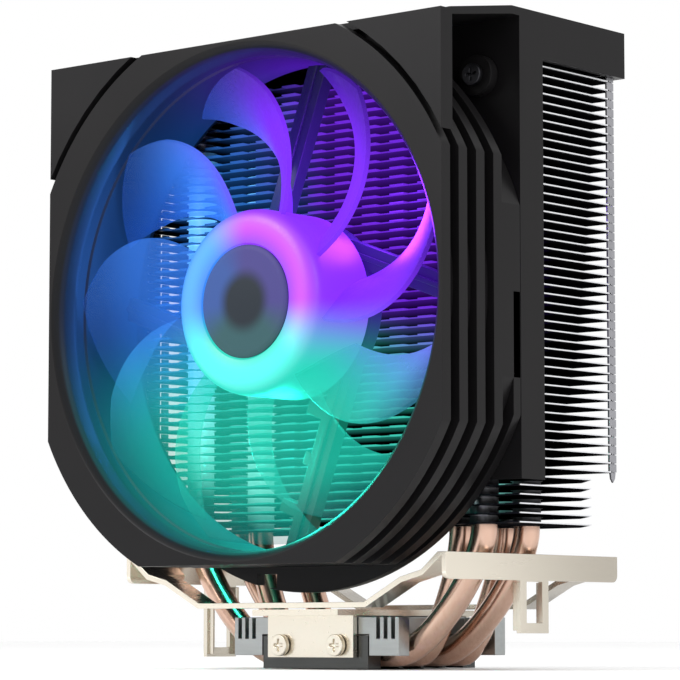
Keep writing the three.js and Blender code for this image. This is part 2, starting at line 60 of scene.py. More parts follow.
def corners(node):
    """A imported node's low and high corners, in millimetres."""
    low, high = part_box(node)
    return low / MM, high / MM


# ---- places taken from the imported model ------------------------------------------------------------
fan_low, fan_high = corners("fan_frame")
disc_low, disc_high = corners("hub_disc")
clip_low, clip_high = corners("spring_clip")
first_low, first_high = corners("fin_01")
second_low, _ = corners("fin_02")
top_low, _ = corners("fin_18")

AXIS = (disc_low.z + disc_high.z) / 2
FRONT = fan_low.y
BACK = fan_high.y
HALF = fan_high.x
DEPTH = BACK - FRONT
DISC_RADIUS = (disc_high.x - disc_low.x) / 2
PITCH = (second_low.z - first_low.z) / REAL_PER_DRAWN
FIN_COUNT = round((top_low.z - first_low.z) / PITCH) + 1

# ---- sizes of the fan, from its axis or from its front ---------------------------------------------
CORNER_RADIUS = 67
TUBE_RADIUS = 58.3
DUCT_RADIUS = 56.8
MOUTH_RADIUS = 59.3
TAIL_RADIUS = 63
SKIRT_RADIUS = 66
LOW_TOP = 58.4  # behind its front flange the frame ends this far above the axis
REAR_FLANGES = (6, 12.2, 18.4)
FLANGE_DEPTH = 3
SKIRT_DEPTH = 2.6
SLOT_X, SLOT_DROP = -12.5, 63.2  # the middle of the skirt's slot, across and below the axis
SLOT_WIDTH, SLOT_HEIGHT = 6, 3.2
LUG_RADIUS, LUG_DEPTH, LUG_REACH = 4.6, 2.6, 70

MOTOR_RADIUS, MOTOR_BORE, MOTOR_DEPTH = 20.5, 4.6, 3.6
ARM_ROOT, ARM_END = Vector((14, -9)), Vector((-4, -57.6))  # the lowest arm, across and up from the axis
ARM_HALF = 2.75
RIB_HALF, RIB_HEIGHT = 0.6, 0.8
HOOKS = ((0.34, 7.5), (0.56, 4.5), (0.8, 7.5))  # each one's share of the arm's length, and its reach
HOOK_START, HOOK_HALF, HOOK_STEP = 2.5, 1.6, 0.6

HUB_RADIUS, HUB_DEPTH, HUB_WALL = 21.5, 22, 1.6
RING_RADIUS, RING_HALF = 17.2, 5.5  # the bright ring on the hub's face
BLADES = 9
BLADE_ROOT, BLADE_TIP = HUB_RADIUS - 0.8, 55.2
BLADE_MIDDLE = 13.1
BLADE_THICKNESS = 1.3
BLADE_CHORD = 21
BLADE_SWEEP = 0.5
ROOT_PITCH, TIP_PITCH = 0.95, 0.5
GLOW_FADE = 18  # over this much of their length the blades' painted lamp light fades, so they darken to the tips
GLOW_REACH = 16  # how far the painted lamp light reaches over the fins behind them

# ---- sizes of the fins, the pipes, the clip and the screws -----------------------------------------
FIN_THICKNESS = 0.3
TEETH, TOOTH_DEPTH = 28, 1.9
CUT_CORNER = 10  # on the low fins
REAR_CORNER = 1.5  # on the others
LOW_FIN_TOP = 43
STRIPS = ((-11.0, 2.3), (16.5, 2.7))  # where the two folded strips start in Y, and their widths
TAB_INNER, TAB_OUTER = 0.45, 0.02  # how far a fold's two faces lie inside the fins' side edges
TAB_FOOT, TAB_GAP = 0.12, 0.1  # how far a fold stays from the fin below it and from the one above
NIB_SHIFT, NIB_HALF, NIB_PROUD = 0.55, 0.28, 0.02
NIB_DROP, NIB_RISE = 0.25, 0.5
TIP = ((-1, 0), (1, 0), (0.75, 1.4), (0, 2.3), (-0.75, 1.4))  # the rear strip's end, across and down

PIPE_RADIUS = 3
PIPE_STRAIGHT = 18.5
PIPE_BEND_TOP = first_low.z - 0.5
PIPE_BEND_STEPS = 20
PIPE_EASE = 0.34
PIPE_TIP = ((0, 0.35), (0.5, 0.78), (1.6, 0.97))  # below the top by this much, this share of the radius
COLLAR = ((0.0, 3.75), (0.5, 3.32), (PITCH - 0.12, 3.22))  # height over the fin, and radius

CLIP_THICKNESS = 1.2
CLIP_ROUNDING = 1.7
CLIP_PLATE_X = 47  # the two upright plates lie further out than this
FOLD_INNER, FOLD_OUTER = 45.9, 47.5  # the folds in the hooks' windows
FOLD_FRONTS, FOLD_WIDTH = (-4.7, 4.1), 0.6
FOLD_FOOT, FOLD_TOP = 0.6, 19.6
RIGHT_HOOK_RISE = 5.6  # how much higher the right hook ends than the left one
HEAD_HEIGHT = 1.3
RECESS_FLOOR, RECESS_ARM, RECESS_HALF = 0.45, 0.56, 0.13  # shares of a head's height and radius


# ---- finishes --------------------------------------------------------------------------------------
def tone(text):
    """A linear colour from a hex one."""
    parts = [int(text[i : i + 2], 16) / 255 for i in (1, 3, 5)]
    return tuple(c / 12.92 if c <= 0.04045 else ((c + 0.055) / 1.055) ** 2.4 for c in parts) + (1,)


class Value:
    """A number that varies over a surface. A sum on it adds a Math node."""

    def __init__(self, finish, socket):
        self.finish = finish
        self.socket = socket

    def sum(self, operation, first, second, clamp=False):
        settings = {"operation": operation, "use_clamp": clamp}
        return self.finish.node("ShaderNodeMath", settings, {0: first, 1: second})

    def __add__(self, other):
        return self.sum("ADD", self, other)

    __radd__ = __add__

    def __sub__(self, other):
        return self.sum("SUBTRACT", self, other)

    def __rsub__(self, other):
        return self.sum("SUBTRACT", other, self)

    def __mul__(self, other):
        return self.sum("MULTIPLY", self, other)

    __rmul__ = __mul__

    def __truediv__(self, other):
        return self.sum("DIVIDE", self, other)

    def __pow__(self, other):
        return self.sum("POWER", self, other)

    def __abs__(self):
        return self.sum("ABSOLUTE", self, 0)

    def clamp(self):
        return self.sum("ADD", self, 0, clamp=True)

    def ease(self):
        """0 to 1 with soft ends."""
        held = self.clamp()
        return held * held * (3 - 2 * held)


class Finish:
    """A material with one Principled shader, whose fixed numbers are set on its own sockets."""

    def __init__(self, name, **fixed):
        self.material = bpy.data.materials.new(name)
        self.material.use_nodes = True
        self.tree = self.material.node_tree
        self.shader = self.tree.nodes["Principled BSDF"]
        for key, value in fixed.items():
            self.shader.inputs[key.replace("_", " ")].default_value = value
        self.object_place = self.node("ShaderNodeTexCoord", {}, {}, "Object")

    def node(self, kind, settings, values, output=0):
        """A new node's output. A value for one of its sockets is a number, a colour or a link."""
        made = self.tree.nodes.new(kind)
        for key, value in settings.items():
            setattr(made, key, value)
        for key, value in values.items():
            if isinstance(value, Value):
                self.tree.links.new(value.socket, made.inputs[key])
            else:
                made.inputs[key].default_value = value
        return Value(self, made.outputs[output])

    def feed(self, name, value):
        self.tree.links.new(value.socket, self.shader.inputs[name])

    def noise(self, scale, detail=3, stretch=(1, 1, 1)):
        values = {"Vector": self.object_place, "Scale": stretch}
        place = self.node("ShaderNodeMapping", {}, values)
        return self.node("ShaderNodeTexNoise", {}, {"Vector": place, "Scale": scale, "Detail": detail})

    def mixed(self, factor, first, second):
        """A colour between two, each a colour or a link."""
        settings = {"data_type": "RGBA"}
        return self.node("ShaderNodeMix", settings, {0: factor, 6: first, 7: second}, 2)

    def painted_lamp_light(self, share, colour):
        """Paints lamp light: gives off a share of a colour."""
        self.feed("Emission Color", self.mixed(share, UNLIT, colour))

    def relief(self, height, distance, strength):
        values = {"Height": height, "Distance": distance, "Strength": strength}
        self.feed("Normal", self.node("ShaderNodeBump", {}, values))

    def from_axis(self):
        """X, depth behind the fan's front and Z, all in millimetres from the fan's axis."""
        values = {"Vector": self.object_place, "Scale": (1 / MM,) * 3, "Location": (0, -FRONT, -AXIS)}
        centred = self.node("ShaderNodeMapping", {}, values)
        split = self.tree.nodes.new("ShaderNodeSeparateXYZ")
        self.tree.links.new(centred.socket, split.inputs[0])
        return [Value(self, socket) for socket in split.outputs]


# The lamps round the hub run violet above and to the right, blue to the left and teal below.
VIOLET, BLUE, TEAL = tone("#7b2cf6"), tone("#3a80f0"), tone("#24c9ae")
RING_VIOLET, RING_BLUE, RING_TEAL = tone("#c840ff"), tone("#4aa8ff"), tone("#48fff0")
# painted lamp light on the inside of the fan's duct, in the lamps' colours
PAINTED_DUCT_VIOLET, PAINTED_DUCT_BLUE, PAINTED_DUCT_TEAL = tone("#43109a"), tone("#082a5c"), tone("#108f8a")


def lamp_colour(finish, x, z, radius, violet, blue, teal):
    left = (0 - x / radius * 1.3 + 0.1).ease()
    below = (0 - z / radius * 1.3).ease()
    return finish.mixed(below, finish.mixed(left, violet, blue), teal)


def axis_radius(x, z):
    return (x * x + z * z + 0.01) ** 0.5


def black_plastic():
    made = Finish("black_plastic", Specular_IOR_Level=0.13, Emission_Strength=1.0)
    grain = made.noise(2600, 4)
    cloud = made.noise(28, 2)
    x, depth, z = made.from_axis()
    radius = axis_radius(x, z)
    made.feed("Base Color", made.mixed(cloud, tone("#0f0e0f"), tone("#171617")))
    made.feed("Roughness", 0.3 + grain * 0.1 + cloud * 0.08)
    # painted lamp light: inside the fan the duct's inner face gives off the lamps' colours, more of it
    # further back
    in_fan = (depth / 1.5).ease() * (DEPTH + 2.5 - depth).clamp()
    painted_duct_light = ((DUCT_RADIUS + 1.2 - radius) / 0.3).clamp() * in_fan
    deep = (depth / 22).clamp()
    painted_lamp_light = lamp_colour(made, x, z, radius, PAINTED_DUCT_VIOLET, PAINTED_DUCT_BLUE, PAINTED_DUCT_TEAL)
    made.painted_lamp_light(painted_duct_light * (0.15 + deep * 0.85), painted_lamp_light)
    made.relief(grain, 0.00002, 0.35)
    return made.material


def strut_plastic():
    made = Finish("strut_plastic", Specular_IOR_Level=0.45, Emission_Strength=0.75)
    grain = made.noise(2200, 3)
    x, _, z = made.from_axis()
    radius = axis_radius(x, z)
    # painted lamp light: the arms and the motor's plate give off the lamps' colours, less of it further from
    # the axis
    painted_strut_light = ((62 - radius) / 50).clamp()
    made.feed("Base Color", made.mixed(grain, tone("#15201f"), tone("#1f2c2b")))
    made.feed("Roughness", 0.38 + grain * 0.12)
    made.painted_lamp_light(painted_strut_light, lamp_colour(made, x, z, radius, tone("#3a12a0"), tone("#12408c"), tone("#0c8f74")))
    made.relief(grain, 0.00002, 0.3)
    return made.material


def blade_plastic():
    made = Finish("frosted_blades", IOR=1.46, Specular_IOR_Level=0.1, Emission_Strength=1.0)
    frost = made.noise(900, 4)
    x, _, z = made.from_axis()
    radius = axis_radius(x, z)
    # painted lamp light: the blades give off the lamps' colours and are tinted with them, most near the hub,
    # fading out towards the tips
    bright = ((BLADE_TIP + 2 - radius) / GLOW_FADE).ease()
    colour = lamp_colour(made, x, z, radius, VIOLET, BLUE, TEAL)
    made.feed("Base Color", made.mixed(0.8 + frost * 0.2, colour, tone("#0a0a1c")))
    made.feed("Emission Color", made.mixed((0.2 + bright * 0.8).clamp(), tone("#0a1440"), colour))
    dense = ((x + z) / radius * 0.7 + 0.3).ease()
    made.feed("Alpha", (0.22 + dense * 0.6 + bright * 0.08 + frost * 0.04).clamp())
    made.feed("Roughness", 0.28 + frost * 0.2)
    made.relief(frost, 0.00004, 0.3)
    return made.material


def hub_plastic():
    made = Finish("lit_hub", Specular_IOR_Level=0.4, Emission_Strength=0.95)
    frost = made.noise(1200, 3)
    x, _, z = made.from_axis()
    radius = axis_radius(x, z)
    middle = (1 - abs((radius - RING_RADIUS) / RING_HALF)).ease()
    colour = lamp_colour(made, x, z, radius, RING_VIOLET, RING_BLUE, RING_TEAL)
    rim = lamp_colour(made, x, z, radius, VIOLET, BLUE, TEAL)
    made.feed("Base Color", made.mixed(0.88, made.mixed(middle, rim, colour), (0.01, 0.01, 0.02, 1)))
    made.feed("Emission Color", made.mixed(middle, rim, colour))
    made.feed("Roughness", 0.35 + frost * 0.15)
    made.relief(frost, 0.00002, 0.25)
    return made.material


def disc_finish():
    made = Finish("hub_disc_satin", Specular_IOR_Level=0.12, Emission_Strength=0.8)
    grain = made.noise(2400, 3)
    x, _, z = made.from_axis()
    radius = axis_radius(x, z)
    # painted lamp light: outside a plain dark centre the disc is tinted with the lamps' colours and gives
    # some of them off
    painted_tint_share = ((radius - 4.5) / 4).ease()
    painted_lamp_tint = lamp_colour(made, x, z, radius, tone("#3a3668"), tone("#2f4578"), tone("#2c484c"))
    made.feed("Base Color", made.mixed(painted_tint_share, tone("#22282f"), painted_lamp_tint))
    made.painted_lamp_light(painted_tint_share * 0.35, painted_lamp_tint)
    made.feed("Roughness", 0.42 + grain * 0.14)
    made.relief(grain, 0.00002, 0.3)
    return made.material


def metal(name, dark, light, rough, brush=(1, 1, 1), scale=1500, depth=0.00001):
    made = Finish(name, Metallic=1.0)
    lines = made.noise(scale, 3, brush)
    cloud = made.noise(40, 3)
    made.feed("Base Color", made.mixed((lines * 0.6 + cloud * 0.4).clamp(), tone(dark), tone(light)))
    made.feed("Roughness", rough + lines * 0.1 + cloud * 0.06)
    made.relief(lines, depth, 0.4)
    return made.material


def fin_aluminium():
    """Rolled sheet: its sheared edges are bright, and its faces are painted near black as the shade that the
    fins cast on each other.
    """
    made = Finish("rolled_fin_aluminium", Specular_IOR_Level=0.0, Emission_Strength=0.8)
    streaks = made.noise(1200, 3, (0.08, 1, 1))
    x, depth, z = made.from_axis()
    radius = axis_radius(x, z)
    side = ((abs(x) - first_high.x + TAB_INNER) / 0.25).clamp()
    back = ((depth - first_high.y + FRONT + 0.5) / 0.3).clamp()
    front = ((first_low.y - FRONT + 2.3 - depth) / 0.5).clamp()
    in_duct = ((DUCT_RADIUS + 1 - radius) / 6).clamp()
    near_fan = ((first_low.y - FRONT + GLOW_REACH - depth) / GLOW_REACH).clamp()
    slant = abs(x) + depth + FRONT - (first_high.x + first_high.y - CUT_CORNER)
    corner = ((slant + 0.6) / 0.3).clamp() * (LOW_FIN_TOP - AXIS - z).clamp()
    edge = (side + back + corner).clamp()
    # painted shade: the faces are near black, the front strip by the fan is a lighter bluish grey, and only
    # the edges keep bright metal
    face = made.mixed(streaks, tone("#0d0d0f"), tone("#1b1b1e"))
    sheared = made.mixed(edge, face, tone("#e4e5e8"))
    made.feed("Base Color", made.mixed(front * (1 - side), sheared, tone("#23242b")))
    made.feed("Metallic", (edge + front * 0.7).clamp())
    made.feed("Roughness", 0.34 + streaks * 0.14)
    # painted lamp light: inside the duct the fins' front strip gives off the lamps' colours, and a little of
    # it reaches further back
    painted_lamp_light = lamp_colour(made, x, z, radius, tone("#7a2cf0"), tone("#2b6fc8"), tone("#3fd8c0"))
    made.painted_lamp_light(in_duct * (front * 0.7 + near_fan * 0.3), painted_lamp_light)
    made.relief(streaks, 0.00001, 0.4)
    return made.material


def collar_metal():
    """The collars round the pipes give off painted lamp light where the fan faces them."""
    made = Finish("collar_aluminium", Metallic=1.0, Emission_Strength=1.3)
    lines = made.noise(1200, 3, (1, 1, 0.2))
    x, depth, z = made.from_axis()
    radius = axis_radius(x, z)
    # painted lamp light: inside the duct the collars give off the lamps' colours, most at the front near the
    # fan
    in_duct = ((DUCT_RADIUS + 2 - radius) / 8).clamp()
    facing = ((first_high.y - FRONT - depth) / (first_high.y - first_low.y)).clamp()
    painted_lamp_light = lamp_colour(made, x, z, radius, tone("#a35cff"), tone("#62b4ff"), tone("#9afff2"))
    made.feed("Base Color", made.mixed(lines, tone("#8a8a8f"), tone("#adadb1")))
    made.feed("Roughness", 0.3 + lines * 0.1)
    made.painted_lamp_light(in_duct * facing, painted_lamp_light)
    return made.material


def clip_steel():
    """Smooth nickel plate, with painted shade that makes it darker towards the back."""
    made = Finish("nickel_spring_steel", Metallic=1.0)
    lines = made.noise(900, 3, (1, 0.06, 1))
    _, depth, _ = made.from_axis()
    # painted shade: the base colour darkens towards the back
    along = ((depth + FRONT - clip_low.y) / (clip_high.y - clip_low.y)).ease()
    made.feed("Base Color", made.mixed(along * 0.9 + lines * 0.08, tone("#e4dccd"), tone("#b5aea2")))
    made.feed("Roughness", 0.24 + lines * 0.05)
    made.relief(lines, 0.000004, 0.2)
    return made.material


def dull(name, dark, light, rough):
    made = Finish(name, Specular_IOR_Level=0.4)
    grain = made.noise(1500, 4)
    made.feed("Base Color", made.mixed(grain, tone(dark), tone(light)))
    made.feed("Roughness", rough + grain * 0.12)
    made.relief(grain, 0.00002, 0.35)
    return made.material


BLACK = black_plastic()
STRUT = strut_plastic()
FROSTED = blade_plastic()
LIT_HUB = hub_plastic()
DISC = disc_finish()
CLIP_STEEL = clip_steel()
COPPER = metal("drawn_copper", "#b58f7c", "#d9bba9", 0.16, (1, 1, 0.08), 1400)
FIN_METAL = fin_aluminium()
COLLAR_METAL = collar_metal()
TAB_METAL = metal("tab_aluminium", "#8a8a8f", "#adadb1", 0.3, (1, 1, 0.2), 1200)
BASE_METAL = metal("milled_aluminium", "#8f9292", "#b2b5b4", 0.26, (0.08, 1, 1), 1000)
# painted shade: the contact base is much darker than the cap, for the shade under the saddle
SHADED_CONTACT_METAL = metal("milled_contact_base_painted_shade", "#414242", "#5c5d5c", 0.24, (0.08, 1, 1), 1000)
DARK_METAL = metal("blackened_steel", "#2c2c30", "#4a4a4e", 0.34)
SHAFT_METAL = metal("ground_steel", "#b6b6b4", "#dcdcda", 0.18)
BEARING_METAL = metal("turned_brass", "#a88a48", "#cdb06a", 0.26)
WINDING = metal("enamelled_wire", "#7d3414", "#b8602c", 0.3, (1, 0.1, 1), 2600, 0.00006)
FERRITE = dull("bonded_ferrite", "#1f1f22", "#313135", 0.6)
BOARD = dull("green_board", "#123f25", "#1f6a3d", 0.45)


# ---- shapes ----------------------------------------------------------------------------------------
def lathe(profile, steps=180, closed=True):
    """An outline of radius and depth behind the fan's front, spun round the fan's axis."""
    shape = bmesh.new()
    points = [shape.verts.new((radius, FRONT + behind, AXIS)) for radius, behind in profile]
    ends = points[1:] + (points[:1] if closed else [])
    lines = [shape.edges.new(pair) for pair in zip(points, ends)]
    bmesh.ops.spin(
        shape, geom=points + lines, cent=(0, 0, AXIS), axis=(0, 1, 0), dvec=(0, 0, 0),
        angle=TURN, steps=steps, use_merge=True,
    )
    return sealed(shape)


def sealed(shape):
    bmesh.ops.remove_doubles(shape, verts=shape.verts[:], dist=1e-4)
    bmesh.ops.recalc_face_normals(shape, faces=shape.faces[:])
    return shape


def closed_over(shape):
    """Fills the open ends."""
    bmesh.ops.holes_fill(shape, edges=[edge for edge in shape.edges if edge.is_boundary], sides=0)
    return sealed(shape)


def trimmed(shape, place, outwards):
    """Cuts away what lies past a plane and closes the cut."""
    geometry = shape.verts[:] + shape.edges[:] + shape.faces[:]
    bmesh.ops.bisect_plane(
        shape, geom=geometry, dist=1e-5, plane_co=place, plane_no=outwards, clear_outer=True
    )
    return closed_over(shape)


def block(low, high):
    shape = bmesh.new()
    low, high = Vector(low), Vector(high)
    size = Matrix.Diagonal((*(high - low), 1))
    bmesh.ops.create_cube(shape, size=1, matrix=Matrix.Translation((low + high) / 2) @ size)
    return shape


def slab(outline, near, far, axis="Y"):
    """A flat outline run from one depth, or one height, to another."""
    shape = bmesh.new()
    lift = Vector((0, far - near, 0)) if axis == "Y" else Vector((0, 0, far - near))
    points = [shape.verts.new((a, near, b) if axis == "Y" else (a, b, near)) for a, b in outline]
    face = shape.faces.new(points)
    grown = bmesh.ops.extrude_face_region(shape, geom=[face])
    risen = [item for item in grown["geom"] if isinstance(item, bmesh.types.BMVert)]
    bmesh.ops.translate(shape, verts=risen, vec=lift)
    return sealed(shape)


def disc_along_y(centre, radius, depth, segments):
    shape = bmesh.new()
    place = Matrix.Translation(centre) @ Matrix.Rotation(math.pi / 2, 4, "X")
    bmesh.ops.create_cone(
        shape, cap_ends=True, segments=segments, radius1=radius, radius2=radius, depth=depth, matrix=place
    )
    return shape


def circle(shape, place, radius, segments):
    """The edges of a new ring of points."""
    made = bmesh.ops.create_circle(shape, segments=segments, radius=radius, matrix=place)
    return list(dict.fromkeys(edge for point in made["verts"] for edge in point.link_edges))


def bridged(shape, circles):
    """A closed skin from each ring of points to the next."""
    for first, second in zip(circles, circles[1:]):
        bmesh.ops.bridge_loops(shape, edges=first + second)
    return closed_over(shape)


def mesh_from(name, shape):
    mesh = bpy.data.meshes.new(name)
    shape.to_mesh(mesh)
    return mesh


def together(*shapes):
    whole = bmesh.new()
    for shape in shapes:
        part = mesh_from("part", shape)
        whole.from_mesh(part)
        bpy.data.meshes.remove(part)
    return whole


def turned(shape, angle):
    bmesh.ops.rotate(shape, verts=shape.verts[:], cent=(0, 0, AXIS), matrix=Matrix.Rotation(angle, 3, "Y"))
    return shape


def copied(shape, offset):
    other = shape.copy()
    bmesh.ops.translate(other, verts=other.verts[:], vec=offset)
    return other


def from_cad(node):
    """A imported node's own shape, merged and with its flat faces made whole."""
    shape = bmesh.new()
    shape.from_mesh(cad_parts[node].data)
    shape.transform(Matrix.Scale(1 / MM, 4))
    bmesh.ops.remove_doubles(shape, verts=shape.verts[:], dist=2e-3)
    bmesh.ops.dissolve_limit(shape, angle_limit=NEARLY_FLAT, verts=shape.verts[:], edges=shape.edges[:])
    return shape


def in_scene(name, data, place=(0, 0, 0)):
    made = bpy.data.objects.new(name, data)
    made.location = place
    bpy.context.scene.collection.objects.link(made)
    return made


def piece(name, shape, material, body="cooler", replaces=(), bevel=0.0, segments=2, cutter=None):
    """Finishes a shape as a piece that rides on a body."""
    shape.transform(Matrix.Scale(MM, 4))
    made = in_scene(name, mesh_from(name, shape))
    made.data.materials.append(material)
    if cutter is not None:
        cutter.transform(Matrix.Scale(MM, 4))
        tool = in_scene(name + "_tool", mesh_from(name + "_tool", cutter))
        carve = made.modifiers.new("carve", "BOOLEAN")
        carve.operation = "DIFFERENCE"
        carve.solver = "EXACT"
        carve.object = tool
        settle(made)
        bpy.data.objects.remove(tool)
    if bevel:
        edge = made.modifiers.new("edge", "BEVEL")
        edge.width = bevel * MM
        edge.segments = segments
        edge.limit_method = "ANGLE"
        edge.angle_limit = SHARP
        edge.use_clamp_overlap = True
        settle(made)
    if not made.data.polygons:
        raise ValueError(f"{name} has no faces left")
    made.data.shade_smooth()
    made.data.set_sharp_from_angle(angle=CREASE)
    if bevel:
        weigh = made.modifiers.new("weigh", "WEIGHTED_NORMAL")
        weigh.keep_sharp = True
        settle(made)
    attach(made, body)
    if replaces:
        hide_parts(*replaces)


def settle(made):
    """Turns the modifiers into mesh."""
    bpy.context.view_layer.update()
    seen = made.evaluated_get(bpy.context.evaluated_depsgraph_get())
    finished = bpy.data.meshes.new_from_object(seen)
    made.modifiers.clear()
    made.data = finished


# ---- the fan's frame -------------------------------------------------------------------------------
def squared(shape, top):
    for place, outwards in (
        ((HALF, 0, 0), (1, 0, 0)), ((-HALF, 0, 0), (-1, 0, 0)),
        ((0, 0, AXIS - HALF), (0, 0, -1)), ((0, 0, AXIS + top), (0, 0, 1)),
    ):
        trimmed(shape, place, outwards)
    return shape


def fan_frame():
    """A square face with a rounded mouth, and a drum behind it with three flanges and a wide tail."""
    face = lathe([
        (CORNER_RADIUS, 0), (CORNER_RADIUS, FLANGE_DEPTH), (DUCT_RADIUS + 0.4, FLANGE_DEPTH),
        (DUCT_RADIUS + 0.6, 2.2), (DUCT_RADIUS + 1.3, 1), (MOUTH_RADIUS - 0.4, 0.25), (MOUTH_RADIUS, 0),
    ])
    outside = []
    for start in REAR_FLANGES:
        behind = TAIL_RADIUS if start == REAR_FLANGES[-1] else TUBE_RADIUS
        outside += [
            (TUBE_RADIUS, start), (CORNER_RADIUS, start),
            (CORNER_RADIUS, start + FLANGE_DEPTH), (behind, start + FLANGE_DEPTH),
        ]
    drum = lathe([
        (TUBE_RADIUS, FLANGE_DEPTH), *outside, (TAIL_RADIUS, DEPTH), (DUCT_RADIUS + 0.9, DEPTH),
        (DUCT_RADIUS, DEPTH - 6), (DUCT_RADIUS, 9.4), (DUCT_RADIUS + 0.5, 9), (DUCT_RADIUS + 0.5, 6.4),
        (DUCT_RADIUS, 6), (DUCT_RADIUS, 5), (DUCT_RADIUS + 0.5, FLANGE_DEPTH),
    ])
    whole = together(squared(face, HALF), squared(drum, LOW_TOP))
    piece("fan_ring", whole, BLACK, replaces=["fan_frame"], bevel=0.22)


def fan_skirt():
    """The half ring below the tail. It starts inside the tail, clear of its back face."""
    inner, front, back = TUBE_RADIUS + 0.2, DEPTH - SKIRT_DEPTH, DEPTH - 0.02
    ring = lathe([(inner, front), (SKIRT_RADIUS, front), (SKIRT_RADIUS, back), (inner, back)])
    trimmed(ring, (0, 0, AXIS), (0, 0, 1))
    for side in (-1, 1):
        trimmed(ring, (side * HALF, 0, 0), (side, 0, 0))
    slot_z = AXIS - SLOT_DROP
    slot = block(
        (SLOT_X - SLOT_WIDTH / 2, BACK - SKIRT_DEPTH - 1, slot_z - SLOT_HEIGHT / 2),
        (SLOT_X + SLOT_WIDTH / 2, BACK + 1, slot_z + SLOT_HEIGHT / 2),
    )
    piece("fan_skirt", ring, BLACK, bevel=0.2, cutter=slot)


def bar(start, end, half, near, far):
    """A straight bar between two places across and up from the axis. Half its width is a vector."""
    outline = [start + half, end + half, end - half, start - half]
    return slab([(place.x, AXIS + place.y) for place in outline], near, far)


def motor_mount():
    """The motor's plate at the back and four swept arms, one of them with hooks for the fan's lead."""
    front = BACK - MOTOR_DEPTH
    shapes = [lathe([
        (MOTOR_BORE, DEPTH - MOTOR_DEPTH), (MOTOR_RADIUS, DEPTH - MOTOR_DEPTH),
        (MOTOR_RADIUS, DEPTH), (MOTOR_BORE, DEPTH),
    ], 96)]
    along = (ARM_END - ARM_ROOT).normalized()
    across = Vector((-along.y, along.x))
    for i in range(4):
        arm = bar(ARM_ROOT, ARM_END, across * ARM_HALF, front, BACK)
        rib = bar(ARM_ROOT, ARM_END, across * RIB_HALF, front - RIB_HEIGHT, front)
        shapes += [turned(arm, i * TURN / 4), turned(rib, i * TURN / 4)]
    for share, reach in HOOKS:
        root = ARM_ROOT.lerp(ARM_END, share)
        start, end = root - across * HOOK_START, root - across * reach
        shapes.append(bar(start, end, along * HOOK_HALF, front, BACK - HOOK_STEP))
    piece("motor_mount", together(*shapes), STRUT, bevel=0.25)


def lug_piece(name, side):
    place = LUG_REACH / math.sqrt(2)
    centre = (side * place, BACK - LUG_DEPTH / 2, AXIS + place)
    shape = disc_along_y(centre, LUG_RADIUS, LUG_DEPTH, 40)
    piece(name, shape, BLACK, bevel=0.3)


# ---- the wheel -------------------------------------------------------------------------------------
def blade(index):
    """A flat sheet, pitched, bowed and wrapped round the hub."""
    shape = bmesh.new()
    bmesh.ops.create_grid(shape, x_segments=20, y_segments=14, size=0.5)
    for point in shape.verts:
        share, along = point.co.x + 0.5, point.co.y
        corner = 1 - 0.12 * max(0.0, share - 0.8) / 0.2  # the last fifth narrows to the tip
        chord = BLADE_CHORD * (0.8 + 0.7 * share) * corner
        pitch = ROOT_PITCH + (TIP_PITCH - ROOT_PITCH) * share
        lift = BLADE_THICKNESS * (1 - 4 * along * along)
        across = along * chord * math.cos(pitch) + lift * math.sin(pitch)
        behind = along * chord * math.sin(pitch) - lift * math.cos(pitch)
        radius = BLADE_ROOT + share * (BLADE_TIP - BLADE_ROOT)
        angle = across / radius + BLADE_SWEEP * share * share + index * TURN / BLADES
        point.co = (radius * math.cos(angle), FRONT + BLADE_MIDDLE + behind, AXIS + radius * math.sin(angle))
    bmesh.ops.recalc_face_normals(shape, faces=shape.faces[:])
    bmesh.ops.solidify(shape, geom=shape.faces[:], thickness=BLADE_THICKNESS * 0.8)
    return sealed(shape)


def wheel():
    """The hub's cup with its rounded front edge, the blades, and the disc that the cup holds."""
    cup = lathe([
        (2, 5.8), (2, 4.4), (DISC_RADIUS + 0.4, 4.4), (DISC_RADIUS + 0.4, 3.3), (DISC_RADIUS + 0.9, 3),
        (18.1, 3), (19.2, 3.25), (20.2, 3.8), (20.9, 4.6), (21.3, 5.6), (HUB_RADIUS, 7),
        (HUB_RADIUS, HUB_DEPTH), (HUB_RADIUS - HUB_WALL, HUB_DEPTH), (HUB_RADIUS - HUB_WALL, 5.8),
    ])
    piece("lit_hub", cup, LIT_HUB, "rotor", ["impeller"])
    blades = together(*[blade(i) for i in range(BLADES)])
    piece("fan_blades", blades, FROSTED, "rotor")
    disc = lathe([
        (0, 3.0), (4.6, 3.0), (5.4, 3.12), (11.6, 3.05), (12.6, 3.15), (DISC_RADIUS, 3.5),
        (DISC_RADIUS, 3.9), (0, 3.9),
    ], 96, closed=False)
    piece("hub_face", disc, DISC, "rotor", ["hub_disc"])


# ---- fins ------------------------------------------------------------------------------------------
def fin_outline(cut):
    """Saw-toothed in front, with its two rear corners cut."""
    half = first_high.x
    front, back = first_low.y, first_high.y
    tooth = 2 * half / TEETH
    teeth = []
    for i in range(TEETH):
        left = -half + i * tooth
        level = front + (0 if i % 2 else TOOTH_DEPTH)
        teeth += [(left, level), (left + tooth, level)]
    ends = [(half, back - cut), (half - cut, back), (-half + cut, back), (-half, back - cut)]
    return teeth + ends


